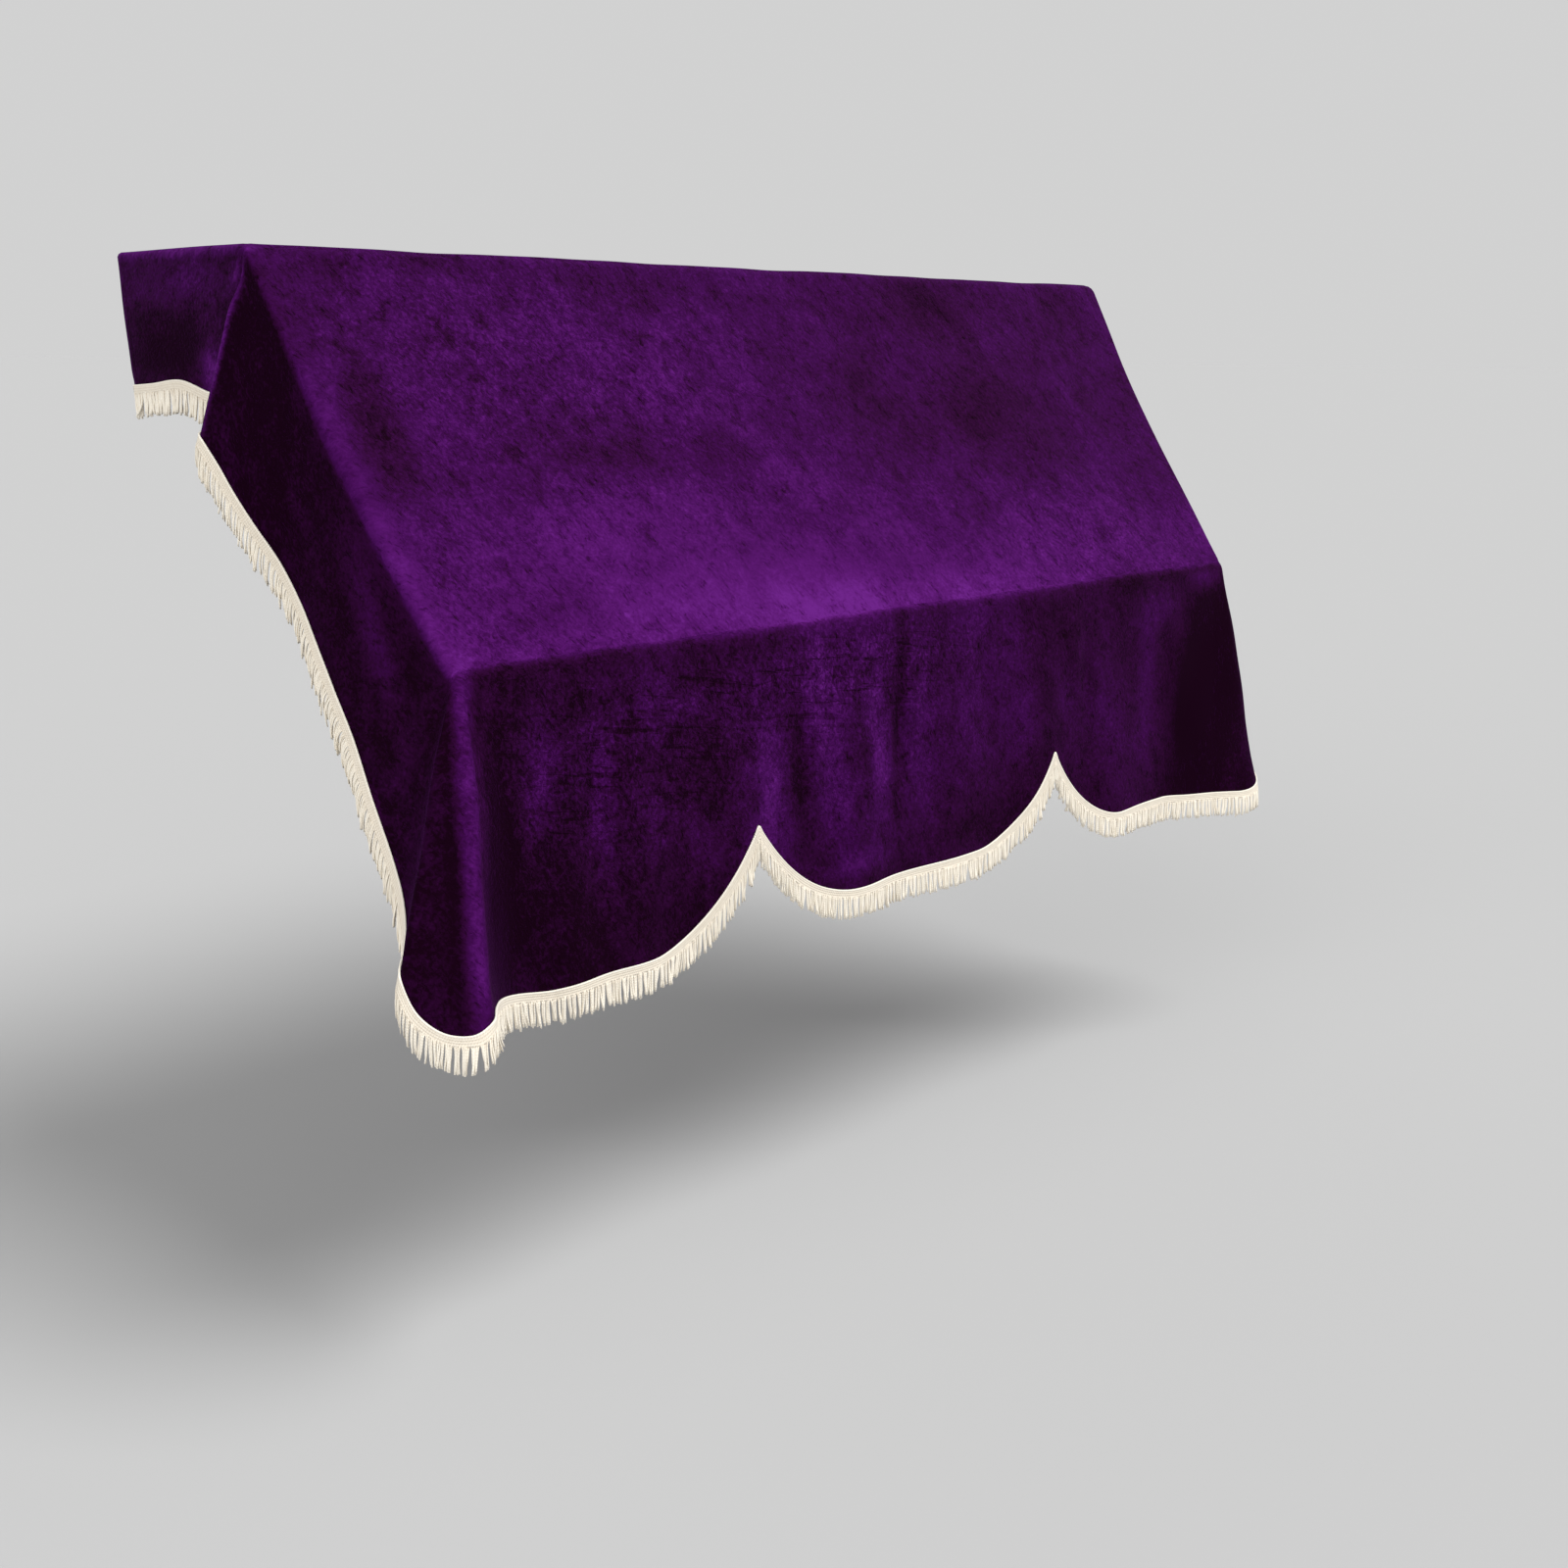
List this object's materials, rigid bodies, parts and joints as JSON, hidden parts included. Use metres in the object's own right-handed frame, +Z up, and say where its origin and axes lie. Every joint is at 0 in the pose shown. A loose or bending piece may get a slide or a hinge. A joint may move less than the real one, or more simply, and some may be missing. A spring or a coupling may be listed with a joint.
{
  "type": "piano cover",
  "caption": "Fitted velvet cover for an upright piano: flat lid and slope panels, draped sides, a scalloped front drop and a fringe along the hem, open behind.",
  "frame": {"origin": "middle of the flat panel that lies on the piano's lid, on the cloth's underside", "axes": "+X along the piano's length, to the right as its player sees it; +Y towards the wall behind the piano; +Z up"},
  "size_m": [1.6707, 0.7511, 0.8449],
  "materials": {
    "velvet": "deep purple crushed velvet, soft nap sheen",
    "fringe": "matt cream braid with hanging bundles of yarn"
  },
  "bodies": {
    "root": {"cover_cloth": "velvet", "fringe_trim": "fringe"}
  },
  "joints": []
}
